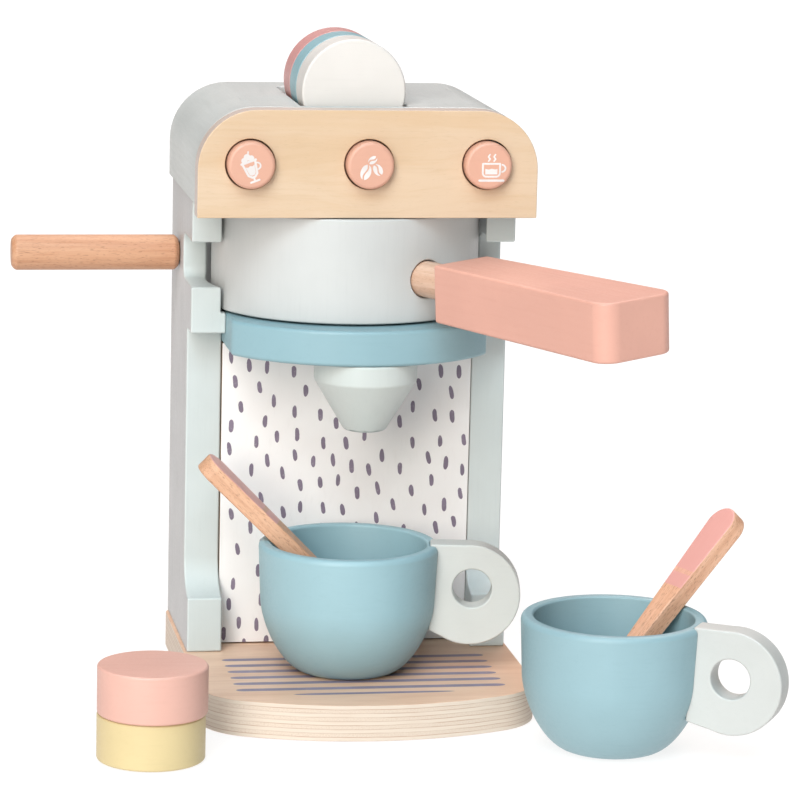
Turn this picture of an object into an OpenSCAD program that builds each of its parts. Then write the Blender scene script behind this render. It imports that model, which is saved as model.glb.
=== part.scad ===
// Toy coffee maker in painted and natural wood: a box frame on a plywood
// base, a turning drum with a filter handle, three push buttons, a slot for
// pods, a turning side lever, and loose cups, spoons and pods.
// Millimetres, +Z up, front towards -Y, origin at the centre of the underside.

/* [Base] */
// Thickness of the plywood base
base_t = 15; // [12:0.5:18]
// Half of the base's width
base_half_w = 70.5; // [70:0.1:76]
// Radius of the bowed front edge
base_front_r = 133.3; // [130:0.1:140]
// Distance from the origin to the front and to the rear edge
base_half_d = 85.2; // [85:0.1:90]
// Corner radius at the front
base_corner_front = 27; // [16:1:32]
// Corner radius at the rear
base_corner_rear = 8; // [4:1:12]

/* [Frame] */
// Front plane of the wooden fascia, behind the origin's front
face_y = -27; // [-28:0.5:-26]
// Outer face of each side panel
side_x = 69.2; // [68:0.1:69.5]
// Thickness of the side panels
side_t = 15; // [14:0.5:15]
// Height where the side panels end and the hood begins
side_top = 211; // [209:0.5:212]
// Back plane of panels and hood, from the fascia's front
back_y = 109.5; // [108:0.5:111]
// Thickness of the rear panel and the printed front panel
sheet_t = 6; // [5:0.5:7]

/* [Hood and fascia] */
// Width of the fascia
fascia_w = 142; // [141.6:0.1:143]
// Lower edge of the fascia
fascia_z0 = 207.1; // [206.8:0.1:208]
// Upper edge of the fascia
fascia_z1 = 251.8; // [251:0.1:253]
// Thickness of the fascia
fascia_t = 10; // [10:0.5:10]
// Radius of the upper corners
top_r = 24.8; // [20:0.2:28]
// Width of the hood
hood_w = 141.6; // [141:0.1:142]
// Thickness of the hood's walls
hood_wall = 12; // [11:0.5:12]
// Length of the pod slot
slot_l = 78.5; // [77:0.5:80]
// Width of the pod slot
slot_w = 44.8; // [44.6:0.1:46]
// Centre of the pod slot, off the middle of the hood
slot_x = -4.1; // [-5:0.1:-3]

/* [Buttons] */
// Distance between neighbouring buttons
button_pitch = 49.35; // [48:0.05:50]
// Radius of a button's head
button_r = 9.8; // [9:0.1:9.9]
// How far a button stands out of the fascia
button_out = 5; // [3.5:0.5:6]
// Travel of a button
button_travel = 3; // [2:0.5:3]

/* [Drum and handle] */
// Radius of the drum
drum_r = 57.1; // [56:0.1:57.2]
// Underside of the drum
drum_z0 = 162.9; // [162.8:0.1:163.2]
// Top of the drum
drum_z1 = 206.7; // [206:0.1:206.8]
// Direction of the handle, counted from +X
handle_dir = -61.7; // [-75:0.1:-45]
// Roll of the grip about its own dowel
handle_roll = 3.65; // [0:0.05:4]
// Radius of the handle's dowel
dowel_r = 7.5; // [7:0.1:7.5]
// Length of the grip
grip_l = 112; // [100:1:115]
// Width of the grip next to the drum
grip_w0 = 28.4; // [26:0.2:30]
// Width of the grip at its far end
grip_w1 = 38.2; // [34:0.2:39]
// Height of the grip
grip_h = 24.2; // [20:0.2:25]

/* [Shelf and spout] */
// Radius of the blue shelf under the drum
shelf_r = 65; // [64:0.2:66]
// Thickness of the shelf
shelf_t = 15; // [14:0.5:15]
// Widest radius of the spout
spout_r = 21.6; // [19:0.2:22]
// Radius of the spout's tip
spout_tip_r = 9.4; // [8:0.2:11]

/* [Lever] */
// Radius of the lever on the left side
lever_r = 7.6; // [7:0.1:7.6]
// Length of the lever
lever_l = 72; // [60:0.2:76]

/* [Accessories] */
// Radius of a pod
pod_r = 21.8; // [21.4:0.1:21.8]
// Thickness of a pod
pod_t = 18.7; // [18:0.1:18.8]
// Outer radius of a cup's rim
cup_r = 37.9; // [37:0.1:38.2]
// Height of a cup
cup_h = 55; // [52:0.5:57]
// Radius of a cup's foot
cup_foot_r = 19; // [17:0.5:22]
// Wall thickness of a cup
cup_wall = 5.2; // [4.8:0.1:5.6]
// Thickness of a cup's handle
ear_t = 11; // [10:0.5:11]
// Radius of a cup's handle
ear_r = 21.5; // [20:0.1:22]
// Radius of the finger hole
ear_hole_r = 8.2; // [7:0.1:8.5]
// Length of a spoon
spoon_l = 112; // [108:1:114]
// Thickness of a spoon
spoon_t = 7.4; // [6.5:0.1:7.6]
// Width of a spoon at its lower end
spoon_w0 = 5; // [4.5:0.1:6]
// Width of a spoon at its painted end
spoon_w1 = 15.5; // [14:0.1:16]

/* [Hidden] */
$fn = 96;

MINT = "#DDE8E4";
MINT_SHADE = "#D3DAD6";
BLUE = "#A8CFD9";
PINK = "#F2B9A8";
BIRCH = "#F3D3AE";
PLY = "#E6C9A6";
BEECH = "#E8B08E";
YELLOW = "#F1DC9A";
WHITE = "#F7F4F1";
STEEL = "#C9CDD1";

// depth positions, all measured from the fascia's front plane
by = face_y + back_y;               // back plane of panels and hood
panel_front = face_y + 47.9;        // front edge of the side walls
block_front = face_y + 33.5;        // front of the blocks beside the drum
foot_front = face_y + 32.9;         // front of the feet
recess_y = face_y + 64.5;           // rear of the recess the handle swings in
foot_top = 38.7;
fillet_r = 15;
block_z0 = 153.3;
recess_z0 = 173.1;
recess_z1 = 192.1;
inner_x = side_x - side_t;          // inner face of a side panel
drum_x = -0.9;
drum_y = face_y + 54.5;
pocket_r = drum_r + 3;              // clearance round the drum
shelf_z1 = 162;
shelf_z0 = shelf_z1 - shelf_t;
shelf_x = 0.5;
shelf_y = face_y + 50.6;
hood_y0 = face_y + fascia_t;        // back of the fascia
button_z = (fascia_z0 + fascia_z1) / 2;
button_hole_r = 10.4;
stem_r = 3;
stem_hole_r = 3.05;
head_back = face_y + 6.5;           // rear face of a button's head
board_y0 = hood_y0;
board_y1 = hood_y0 + 3;
slot_y0 = face_y + 13.5;
pod_z = 257.7;                      // centre height of the pods in the slot
tray_z1 = pod_z - pod_r - 0.3;
tray_z0 = tray_z1 - 1.7;
axle_r = 6;
dowel_z = 180.9;
grip_z = 179.8;
grip_s = 79.5;                      // near end of the grip from the drum's axis
lever_y = face_y + 80.5;
lever_z = 181.1;
lever_peg_r = 4;
spout_x = 1.5;
spout_y = face_y + 7;
spout_kink_z = 138.8;
spout_z0 = 116.9;
cup_one_x = -4.9;
cup_one_y = face_y + 1.5;
cup_one_turn = -10;
cup_two_x = 92.7;
cup_two_y = face_y - 73.5;
cup_two_turn = -32;
// Per cup handle, from the cup's axis and foot: centre of the round, its lower
// corner, the top of its inner edge, centre of the finger hole.
ear_one = [[50.95, 34.3], [34.2, 18.6], [34.2, 56], [52.1, 37.1]];
ear_two = [[51.5, 33.9], [33.4, 16.1], [35.4, 56], [51.5, 35.6]];
stack_x = -95.1;
stack_y = face_y - 74;

// ---------- helpers ----------

// part of the plan of the base on the right of the middle
module base_half_plan() {
  cy = -base_half_d + base_front_r;
  fr = base_corner_front;
  fx = base_half_w - fr;
  fy = cy - sqrt(pow(base_front_r - fr, 2) - pow(fx, 2));
  intersection() {
    translate([0, cy]) circle(base_front_r, $fn = 256);
    polygon([[0, cy], [0, cy - 200], [fx / (base_front_r - fr) * 200,
      cy - (cy - fy) / (base_front_r - fr) * 200]]);
  }
  translate([fx, fy]) circle(fr);
  polygon([[0, cy], [fx, fy], [base_half_w, fy],
    [base_half_w, base_half_d - base_corner_rear],
    [base_half_w - base_corner_rear, base_half_d], [0, base_half_d]]);
  translate([base_half_w - base_corner_rear, base_half_d - base_corner_rear])
    circle(base_corner_rear);
}

// flat plate standing in the XZ plane, front face at y, thickness t
module upright(y, t) {
  translate([0, y + t, 0]) rotate([90, 0, 0]) linear_extrude(t) children();
}

// outline with rounded upper corners
module arch_plan(w, z0, z1, r) {
  translate([-w / 2, z0]) square([w, z1 - z0 - r]);
  translate([-w / 2 + r, z1 - r]) square([w - 2 * r, r]);
  for (s = [-1, 1]) translate([s * (w / 2 - r), z1 - r]) intersection() {
    circle(r);
    translate([s > 0 ? 0 : -2 * r, 0]) square(2 * r);
  }
}

module rounded_rect(x0, y0, x1, y1, r) {
  translate([x0 + r, y0]) square([x1 - x0 - 2 * r, y1 - y0]);
  translate([x0, y0 + r]) square([x1 - x0, y1 - y0 - 2 * r]);
  for (x = [x0 + r, x1 - r], y = [y0 + r, y1 - r]) translate([x, y]) circle(r);
}

// countersunk screw, head up at the origin, shank down
module screw(l, r = 1.6, head = 3.4) {
  rotate_extrude($fn = 48) polygon([[0, 0], [head, 0], [head, -0.5],
    [r, -0.5 - (head - r)], [r, -l + 2.5], [0, -l]]);
}

// hole for the same screw
module screw_hole(l, r = 1.6, head = 3.4) {
  rotate_extrude($fn = 48) polygon([[0, 0.5], [head, 0.5], [head, -0.5],
    [r, -0.5 - (head - r)], [r, -l + 2.5], [0, -l]]);
}

// ---------- box frame ----------

// places of the screws that come up through the base into the side panels
base_screw_xy = [for (s = [-1, 1], y = [face_y + 52, face_y + 96]) [s * (side_x - side_t / 2), y]];

module base_plate() {
  color(PLY) difference() {
    linear_extrude(base_t) union() {
      base_half_plan();
      mirror([1, 0]) base_half_plan();
    }
    for (p = base_screw_xy) translate([p[0], p[1], 0]) mirror([0, 0, 1]) screw_hole(40);
  }
}

module base_screws() {
  color(STEEL) for (p = base_screw_xy) translate([p[0], p[1], 0]) mirror([0, 0, 1]) screw(40);
}

// side view of a panel: depth along x, height along y
module side_profile() {
  difference() {
    union() {
      translate([panel_front, base_t]) square([by - panel_front, side_top - base_t]);
      translate([foot_front, base_t]) square([panel_front - foot_front + 1, foot_top - base_t]);
      difference() {
        translate([foot_front, foot_top - 1])
          square([fillet_r, fillet_r + 1]);
        translate([foot_front, foot_top + fillet_r]) circle(fillet_r);
      }
      translate([block_front, block_z0]) square([panel_front - block_front + 1, side_top - block_z0]);
    }
    // recess for the handle's dowel, with rounded inner corners
    translate([block_front - 5, recess_z0])
      square([recess_y - block_front, recess_z1 - recess_z0]);
    translate([recess_y - 6, recess_z0 + 5]) square([6, recess_z1 - recess_z0 - 10]);
    for (z = [recess_z0 + 5, recess_z1 - 5]) translate([recess_y - 5, z]) circle(5);
  }
}

module panel_blank() {
  rotate([90, 0, 90]) linear_extrude(side_t) side_profile();
}

module drum_pocket() {
  translate([0, drum_y, shelf_z1]) cylinder(h = 100, r = pocket_r, $fn = 192);
}

module panel_screw_holes(s) {
  for (p = base_screw_xy) if (p[0] * s > 0)
    translate([p[0], p[1], 0]) cylinder(h = 40.4, r = 1.6, $fn = 48);
}

module left_side_panel() {
  color(MINT) difference() {
    translate([-side_x, 0, 0]) panel_blank();
    drum_pocket();
    panel_screw_holes(-1);
    translate([-side_x - 1, lever_y, lever_z]) rotate([0, 90, 0]) cylinder(h = 13, r = lever_peg_r);
  }
}

module right_side_panel() {
  color(MINT) difference() {
    translate([inner_x, 0, 0]) panel_blank();
    drum_pocket();
    panel_screw_holes(1);
  }
}

module splash_panel() {
  color(WHITE) translate([-inner_x + 0.2, face_y + 46.6, base_t + 0.5])
    cube([2 * inner_x - 0.4, sheet_t, shelf_z0 - base_t - 0.5]);
}

rear_y = by - sheet_t;
rear_screw_xz = [for (s = [-1, 1], z = [30, 85, 140]) [s * 46, z]];

module rear_panel() {
  color(MINT_SHADE) difference() {
    upright(rear_y, sheet_t) translate([-inner_x + 0.2, base_t])
      square([2 * inner_x - 0.4, shelf_z0 - base_t]);
    for (p = rear_screw_xz) translate([p[0], by, p[1]]) rotate([-90, 0, 0]) screw_hole(sheet_t + 12);
  }
  // two battens that take the screws and hold the panel to the sides
  color(PLY) for (s = [-1, 1]) difference() {
    translate([s > 0 ? 40 : -inner_x, rear_y - 14, base_t]) cube([inner_x - 40, 14, shelf_z0 - base_t]);
    for (p = rear_screw_xz) translate([p[0], by, p[1]]) rotate([-90, 0, 0]) screw_hole(sheet_t + 12);
  }
}

module rear_screws() {
  color(STEEL) for (p = rear_screw_xz) translate([p[0], by, p[1]]) rotate([-90, 0, 0]) screw(sheet_t + 12);
}

// ---------- hood ----------

hood_z1 = fascia_z1 + 0.2;
hood_in = hood_w / 2 - hood_wall;
hood_in_z = hood_z1 - hood_wall;

module hood() {
  color(MINT) difference() {
    upright(hood_y0, by - hood_y0) difference() {
      arch_plan(hood_w, side_top, hood_z1, top_r);
      arch_plan(2 * hood_in, side_top - 1, hood_in_z, top_r - hood_wall);
    }
    translate([0, 0, hood_in_z - 1]) linear_extrude(hood_wall + 2)
      rounded_rect(slot_x - slot_w / 2, slot_y0, slot_x + slot_w / 2, slot_y0 + slot_l, 2);
  }
}

// board that closes the rear of the hood
module hood_back() {
  color(MINT) upright(by - 9, 7) intersection() {
    arch_plan(2 * hood_in - 0.2, side_top, hood_in_z - 0.1, top_r - hood_wall);
    translate([-100, side_top + 5.5]) square([200, 100]);
  }
}

module fascia() {
  color(BIRCH) upright(face_y, fascia_t) difference() {
    arch_plan(fascia_w, fascia_z0, fascia_z1, top_r);
    for (i = [-1, 0, 1]) translate([i * button_pitch, button_z]) circle(button_hole_r);
  }
}

// thin board behind the fascia that carries the buttons' stems and springs
module spring_board() {
  color(PLY) upright(board_y0, board_y1 - board_y0) difference() {
    arch_plan(2 * hood_in - 0.4, side_top + 6, hood_in_z - 0.2, top_r - hood_wall);
    for (i = [-1, 0, 1]) translate([i * button_pitch, button_z]) circle(stem_hole_r, $fn = 64);
  }
}

// board across the tops of the side panels, over the drum
module ceiling_board() {
  color(PLY) difference() {
    translate([-hood_in, board_y1 + 0.3, side_top]) cube([2 * hood_in, by - board_y1 - 0.3, 5.5]);
    translate([drum_x, drum_y, side_top - 1]) cylinder(h = 8, r = axle_r);
  }
}

// open box under the slot that the pods stand in
module pod_tray() {
  x0 = slot_x - slot_w / 2 - 0.4;
  x1 = slot_x + slot_w / 2 + 0.4;
  y1 = slot_y0 + slot_l + 0.4;
  color(PLY) difference() {
    translate([x0 - 3, board_y1 + 0.1, tray_z0]) cube([x1 - x0 + 6, y1 - board_y1 + 3, hood_in_z - tray_z0]);
    translate([x0, board_y1 - 1, tray_z1]) cube([x1 - x0, y1 - board_y1 + 1, 20]);
  }
}

// ---------- shelf, spout, drum ----------

module drip_shelf() {
  color(BLUE) difference() {
    intersection() {
      translate([shelf_x, shelf_y, shelf_z0]) cylinder(h = shelf_t, r = shelf_r, $fn = 256);
      translate([-inner_x, -100, 0]) cube([2 * inner_x, 100 + face_y + 100, 300]);
    }
    translate([drum_x, drum_y, shelf_z0 + 3]) cylinder(h = shelf_t, r = axle_r);
    translate([spout_x, spout_y, shelf_z0 - 1]) cylinder(h = 11, r = 4);
  }
}

module spout() {
  color(MINT) difference() {
    translate([spout_x, spout_y, 0]) rotate_extrude($fn = 128)
      polygon([[0, spout_z0], [spout_tip_r - 1, spout_z0], [spout_tip_r, spout_z0 + 1.2],
        [spout_r - 0.3, spout_kink_z - 0.9], [spout_r, spout_kink_z + 0.4],
        [spout_r, shelf_z0], [0, shelf_z0]]);
    translate([spout_x, spout_y, shelf_z0 - 14]) cylinder(h = 20, r = 4);
  }
}

module spout_peg() {
  color(BEECH) translate([spout_x, spout_y, shelf_z0 - 14]) cylinder(h = 24, r = 4);
}

module drum_axle() {
  color(BEECH) translate([drum_x, drum_y, shelf_z0 + 3]) cylinder(h = side_top + 5.5 - shelf_z0 - 3, r = axle_r);
}

// places its children in the handle's own frame: x outwards from the drum's axis
module handle_frame(z) {
  translate([drum_x, drum_y, z]) rotate([0, 0, handle_dir]) children();
}

module drum() {
  color(MINT) difference() {
    translate([drum_x, drum_y, drum_z0]) cylinder(h = drum_z1 - drum_z0, r = drum_r, $fn = 256);
    translate([drum_x, drum_y, drum_z0 - 1]) cylinder(h = 60, r = axle_r + 0.06);
    handle_frame(dowel_z) translate([26, 0, 0]) rotate([0, 90, 0]) cylinder(h = 40, r = dowel_r);
    // slightly wider mouth round the dowel
    handle_frame(dowel_z) translate([drum_r - 3, 0, 0]) rotate([0, 90, 0]) cylinder(h = 10, r = dowel_r + 0.5);
  }
}

module handle_dowel() {
  color(BEECH) handle_frame(dowel_z) translate([26, 0, 0]) rotate([0, 90, 0]) cylinder(h = grip_s + 30 - 26, r = dowel_r);
}

// plan of the grip: near end at x = 0, far corners rounded
module grip_plan() {
  r = 8;
  h1 = grip_w1 / 2;
  // how much narrower the tapered side is where the corner's arc begins
  drop = (h1 - grip_w0 / 2) * r / grip_l;
  difference() {
    polygon([[0, grip_w0 / 2], [grip_l, h1], [grip_l, -h1], [0, -grip_w0 / 2]]);
    for (s = [-1, 1]) difference() {
      translate([grip_l - r, s > 0 ? h1 - r - drop : -h1 - 2]) square([r + 2, r + 2 + drop]);
      translate([grip_l - r, s * (h1 - r - drop)]) circle(r);
    }
  }
}

module handle_grip() {
  color(PINK) handle_frame(0) difference() {
    translate([grip_s, 0, grip_z]) rotate([handle_roll, 0, 0]) translate([0, 0, -grip_h / 2])
      linear_extrude(grip_h) grip_plan();
    translate([grip_s - 1, 0, dowel_z]) rotate([0, 90, 0]) cylinder(h = 31, r = dowel_r);
  }
}

// ---------- lever on the left ----------

module lever_peg() {
  color(BEECH) translate([-side_x - 22, lever_y, lever_z]) rotate([0, 90, 0]) cylinder(h = 34, r = lever_peg_r);
}

module side_lever() {
  c = 1.8;
  color(BEECH) difference() {
    translate([-side_x - 0.4 - lever_l, lever_y, lever_z]) rotate([0, 90, 0]) rotate_extrude($fn = 96)
      polygon([[0, 0], [lever_r - c, 0], [lever_r, c], [lever_r, lever_l - c], [lever_r - c, lever_l], [0, lever_l]]);
    translate([-side_x - 22.5, lever_y, lever_z]) rotate([0, 90, 0]) cylinder(h = 34, r = lever_peg_r + 0.05);
  }
}

// ---------- buttons ----------

// head with a ring-shaped spring seat at the rear, and a stem; axis along -Y
module button(i) {
  h = head_back - (face_y - button_out);
  color(PINK) translate([i * button_pitch, 0, button_z]) rotate([90, 0, 0]) {
    translate([0, 0, -head_back]) difference() {
      rotate_extrude($fn = 96) polygon([[0, 0], [button_r, 0], [button_r, h - 0.9],
        [button_r - 0.9, h], [0, h]]);
      translate([0, 0, -1]) difference() {
        cylinder(h = 8, r = 7.6);
        cylinder(h = 8, r = 4.4);
      }
    }
    translate([0, 0, -(board_y1 + 0.3 + 2.4)]) cylinder(h = board_y1 + 0.3 + 2.4 - head_back, r = stem_r, $fn = 64);
  }
}

module button_washer(i) {
  color(STEEL) translate([i * button_pitch, board_y1 + 0.3, button_z]) rotate([-90, 0, 0]) difference() {
    cylinder(h = 1.6, r = 4.2, $fn = 64);
    translate([0, 0, -1]) cylinder(h = 4, r = stem_r, $fn = 64);
  }
}

// coil spring from the seat in the head to the board
spring_turns = 4.5;
spring_rm = 6;
spring_rw = 0.55;
spring_y0 = head_back - 7 + 0.05;
spring_y1 = board_y0 - 0.05;
function coil_ring(k, n) = let (u = k / n, a = 360 * spring_turns * u,
    y = spring_y0 + spring_rw + (spring_y1 - spring_y0 - 2 * spring_rw) * u)
  [for (j = [0:5]) let (b = 60 * j, r = spring_rm + spring_rw * cos(b)) [r * cos(a), y + spring_rw * sin(b), r * sin(a)]];

module spring(i) {
  n = 63;
  rings = [for (k = [0:n]) each coil_ring(k, n)];
  side = [for (k = [0:n - 1], j = [0:5]) let (a = 6 * k + j, b = 6 * k + (j + 1) % 6) [a, b, b + 6, a + 6]];
  color(STEEL) translate([i * button_pitch, 0, button_z])
    polyhedron(points = rings, faces = concat([[5, 4, 3, 2, 1, 0]], side, [[for (j = [0:5]) 6 * n + j]]));
}

// ---------- pods ----------

module pod_shape(t, r) {
  e = 0.6;
  rotate_extrude($fn = 128) polygon([[0, 0], [r - e, 0], [r, e], [r, t - e], [r - e, t], [0, t]]);
}

module slot_pod(k, c) {
  color(c) translate([slot_x - 0.3, face_y + 16 + k * (pod_t + 0.3), pod_z]) rotate([-90, 0, 0]) pod_shape(pod_t, pod_r);
}

module pod_yellow() {
  color(YELLOW) translate([stack_x - 0.2, stack_y + 0.8, 0]) pod_shape(pod_t + 0.3, pod_r);
}

module pod_pink_loose() {
  color(PINK) translate([stack_x + 0.2, stack_y, pod_t + 0.4]) pod_shape(pod_t + 0.9, pod_r + 0.4);
}

// ---------- cups ----------

cup_z1 = 30.5;                      // where the wall begins to curve in
cup_r1 = cup_r - 1;
function bowl(r0, r1, z0, z1, n) = [for (k = [0:n]) let (t = 90 * k / n)
  [r0 + (r1 - r0) * pow(cos(90 - t), 1.25), z1 - (z1 - z0) * pow(sin(90 - t), 1.25)]];

module cup_wall_shape() {
  rotate_extrude($fn = 128) polygon(concat(
    [[0, 0], [cup_foot_r, 0]],
    bowl(cup_foot_r, cup_r1, 0, cup_z1, 16),
    [for (a = [0:18:90]) [cup_r - 2.3 + 2.3 * cos(a), cup_h - 2.6 + 2.6 * sin(a)]],
    [for (a = [90:22.5:180]) [cup_r - cup_wall + 1.2 + 1.2 * cos(a), cup_h - 1.3 + 1.2 * sin(a)]],
    [[cup_r1 - cup_wall, cup_z1]],
    [for (k = [15:-1:0]) bowl(cup_foot_r - 6, cup_r1 - cup_wall, 6, cup_z1, 16)[k]],
    [[0, 6]]));
}

// flat plate of the handle: distance from the axis along x, height along y
module ear_plan(e) {
  // lower corner, from the circle's centre
  c = e[1] - e[0];
  // the straight underside ends just inside the circle, near where it would touch it
  ta = atan2(c[1], c[0]) + acos(ear_r / norm(c));
  t = (ear_r - 0.12) * [cos(ta), sin(ta)];
  // inner edge, along the bottom of the slot in the cup's wall
  d = e[2] - e[1];
  difference() {
    intersection() {
      translate(e[0]) union() {
        circle(ear_r, $fn = 128);
        polygon([[0, 0], [0, ear_r - 0.1], [c[0] - 3, ear_r - 0.1], t + 1.15 * (c - t), t]);
      }
      polygon([e[1] - 0.3 * d, e[1] + 1.3 * d, [120, e[1][1] + 1.3 * d[1]], [120, e[1][1] - 0.3 * d[1]]]);
    }
    translate(e[3]) circle(ear_hole_r);
  }
}

module ear(e) {
  translate([0, ear_t / 2, 0]) rotate([90, 0, 0]) linear_extrude(ear_t) ear_plan(e);
}

// slot in a cup's wall that takes the handle
module ear_slot(e) {
  slope = (e[2][0] - e[1][0]) / (e[2][1] - e[1][1]);
  translate([0, ear_t / 2, 0]) rotate([90, 0, 0]) linear_extrude(ear_t)
    polygon([[e[1][0], e[1][1] - 2.5], [60, e[1][1] - 2.5], [60, 66],
      [e[1][0] + slope * (66 - e[1][1]), 66], e[1]]);
}

module cup(x, y, z, turn, e) {
  color(BLUE) translate([x, y, z]) rotate([0, 0, turn]) difference() {
    cup_wall_shape();
    ear_slot(e);
  }
}

module cup_handle(x, y, z, turn, e) {
  color(MINT) translate([x, y, z]) rotate([0, 0, turn]) ear(e);
}

// ---------- spoons ----------

// flat stick, wider towards its painted end; length along x, face in xy
module spoon_plan() {
  w0 = spoon_w0 / 2;
  w1 = spoon_w1 / 2;
  translate([w0, 0]) circle(w0);
  translate([spoon_l - w1, 0]) circle(w1);
  polygon([[w0, -w0], [spoon_l - w1, -w1], [spoon_l - w1, w1], [w0, w0]]);
}

// origin at the lower tip's centre; lean from the horizontal, turn about +Z,
// roll about the stick
module spoon(x, y, z, turn, lean, roll) {
  translate([x, y, z]) rotate([0, 0, turn]) rotate([0, -lean, 0]) rotate([roll, 0, 0])
    translate([0, 0, -spoon_t / 2]) linear_extrude(spoon_t) spoon_plan();
}

module spoon_one() {
  color(BEECH) spoon(cup_one_x + 18.21, cup_one_y - 8.9, base_t + 11.12, 162.21, 42.94, 5.62);
}

module spoon_two() {
  color(BEECH) spoon(cup_two_x - 15.57, cup_two_y - 2.72, 8.93, 21.16, 47.16, -0.62);
}

base_plate();
left_side_panel();
right_side_panel();
splash_panel();
rear_panel();
hood();
hood_back();
fascia();
spring_board();
ceiling_board();
pod_tray();
drip_shelf();
spout();
spout_peg();
drum_axle();
lever_peg();
base_screws();
rear_screws();
drum();
handle_dowel();
handle_grip();
side_lever();
button(-1);  // button_left
button(0);  // button_centre
button(1);  // button_right
spring(-1);  // spring_left
spring(0);  // spring_centre
spring(1);  // spring_right
button_washer(-1);  // button_washer_left
button_washer(0);  // button_washer_centre
button_washer(1);  // button_washer_right
slot_pod(0, WHITE);  // pod_white
slot_pod(1, BLUE);  // pod_blue
slot_pod(2, PINK);  // pod_pink
pod_pink_loose();
pod_yellow();
cup(cup_one_x, cup_one_y, base_t + 0.1, cup_one_turn, ear_one);  // cup_one
cup_handle(cup_one_x, cup_one_y, base_t + 0.1, cup_one_turn, ear_one);  // cup_one_handle
cup(cup_two_x, cup_two_y, 0, cup_two_turn, ear_two);  // cup_two
cup_handle(cup_two_x, cup_two_y, 0, cup_two_turn, ear_two);  // cup_two_handle
spoon_one();
spoon_two();
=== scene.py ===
import math
import random

import bmesh
import bpy
from mathutils import Matrix, Vector


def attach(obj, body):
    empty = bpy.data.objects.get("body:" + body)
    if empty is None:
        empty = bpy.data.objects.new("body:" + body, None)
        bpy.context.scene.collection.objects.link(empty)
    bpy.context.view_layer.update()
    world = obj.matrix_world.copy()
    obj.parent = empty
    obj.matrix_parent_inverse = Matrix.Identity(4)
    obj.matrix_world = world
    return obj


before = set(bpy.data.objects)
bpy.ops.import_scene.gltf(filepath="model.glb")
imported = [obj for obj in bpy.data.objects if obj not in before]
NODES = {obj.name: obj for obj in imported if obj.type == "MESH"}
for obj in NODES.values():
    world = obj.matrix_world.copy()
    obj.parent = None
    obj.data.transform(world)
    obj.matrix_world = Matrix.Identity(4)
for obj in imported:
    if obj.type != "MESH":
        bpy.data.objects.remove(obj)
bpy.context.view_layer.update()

MM = 0.001

# ---------------------------------------------------------------- dimensions
# The same numbers as the CAD source, in millimetres.
FACE_Y = -27.0
BUTTON_FRONT = FACE_Y - 5.0
BUTTON_Z = 229.45
BUTTON_PITCH = 49.35
PANEL_FRONT = FACE_Y + 46.6
PANEL_HALF = 53.7
PANEL_Z0, PANEL_Z1 = 15.5, 147.0
HANDLE_DIR = -61.7
SPOONS = {
    "spoon_one": ((13.31, -34.4, 26.12), 162.21, 42.94, 5.62),
    "spoon_two": ((77.13, -103.22, 8.93), 21.16, 47.16, -0.62),
}
SPOON_T, SPOON_L = 7.4, 112.0


# brightness of the studio light on a surface that faces the front
LIT = 1.506


def linear(hexcol, k=(1, 1, 1)):
    """Base colour of a surface that should look like this sRGB colour when it faces the front.
    k corrects its red, green and blue for a place that gets another amount of light."""
    out = []
    for i, m in zip((1, 3, 5), k):
        c = int(hexcol[i:i + 2], 16) / 255
        out.append((c / 12.92 if c <= 0.04045 else ((c + 0.055) / 1.055) ** 2.4) * m / LIT)
    return tuple(out)


def scaled(rgb, k):
    return tuple(min(1.0, c * k) for c in rgb)


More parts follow.
